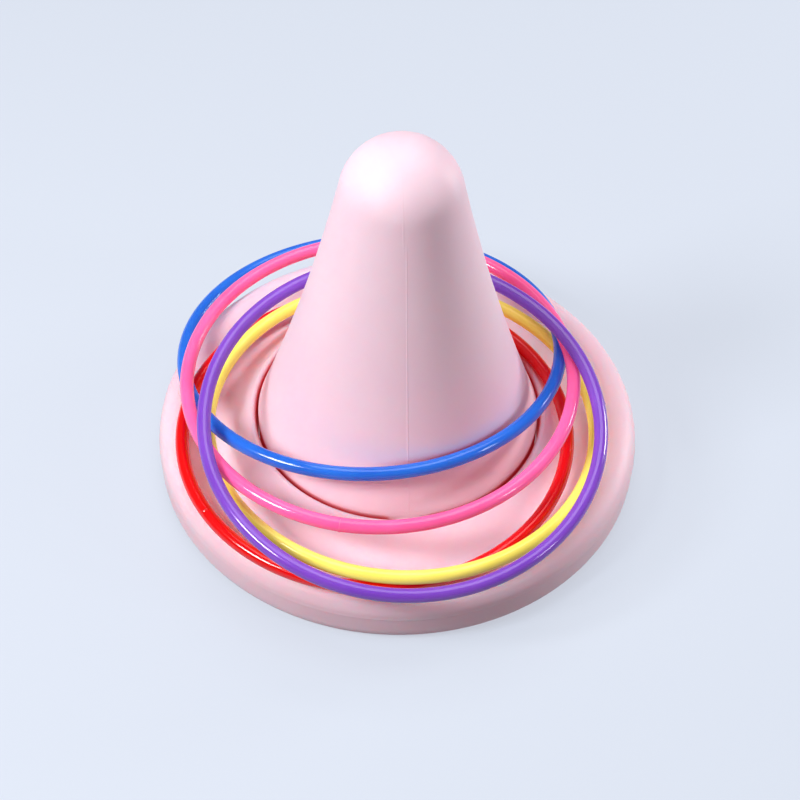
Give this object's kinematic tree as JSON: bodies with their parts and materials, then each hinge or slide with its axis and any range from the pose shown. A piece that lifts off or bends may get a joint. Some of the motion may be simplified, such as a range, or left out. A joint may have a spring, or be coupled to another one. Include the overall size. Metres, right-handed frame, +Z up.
{
  "type": "ring toss set",
  "caption": "Ring toss target: a hollow round-tipped cone clipped into a wide round base, with thin tube rings dropped over it.",
  "frame": {"origin": "middle of the whole set as it lies, on the floor; the axis of the base and the cone stands 5.5 mm behind it, at y = 0.0055", "axes": "+Z up, along the cone's axis; -Y faces the front, where one of the two lug slots shows; +X to the right"},
  "size_m": [0.36, 0.3812, 0.2975],
  "materials": {
    "base_polyethylene": "satin blow-moulded, pale pink",
    "cone_polyethylene": "satin blow-moulded, pale pink",
    "red_tube": "glossy extruded tube, red",
    "yellow_tube": "glossy extruded tube, yellow",
    "blue_tube": "glossy extruded tube, blue",
    "pink_tube": "glossy extruded tube, pink",
    "purple_tube": "glossy extruded tube, purple",
    "ring_plug": "moulded, natural white"
  },
  "bodies": {
    "target": {"base": "base_polyethylene", "cone": "cone_polyethylene"},
    "ring_1_red": {"red_ring": "red_tube", "red_plug": "ring_plug"},
    "ring_2_yellow": {"yellow_ring": "yellow_tube", "yellow_plug": "ring_plug"},
    "ring_3_blue": {"blue_ring": "blue_tube", "blue_plug": "ring_plug"},
    "ring_4_pink": {"pink_ring": "pink_tube", "pink_plug": "ring_plug"},
    "ring_5_purple": {"purple_ring": "purple_tube", "purple_plug": "ring_plug"}
  },
  "joints": [
    {"name": "red_ring_lift", "type": "slide", "parent": "target", "child": "ring_1_red", "axis": [0, 0, 1], "range_m": [0, 0.27]},
    {"name": "yellow_ring_lift", "type": "slide", "parent": "ring_1_red", "child": "ring_2_yellow", "axis": [0, 0, 1], "range_m": [0, 0.27]},
    {"name": "blue_ring_lift", "type": "slide", "parent": "ring_2_yellow", "child": "ring_3_blue", "axis": [0, 0, 1], "range_m": [0, 0.27]},
    {"name": "pink_ring_lift", "type": "slide", "parent": "ring_3_blue", "child": "ring_4_pink", "axis": [0, 0, 1], "range_m": [0, 0.27]},
    {"name": "purple_ring_lift", "type": "slide", "parent": "ring_4_pink", "child": "ring_5_purple", "axis": [0, 0, 1], "range_m": [0, 0.27]}
  ]
}
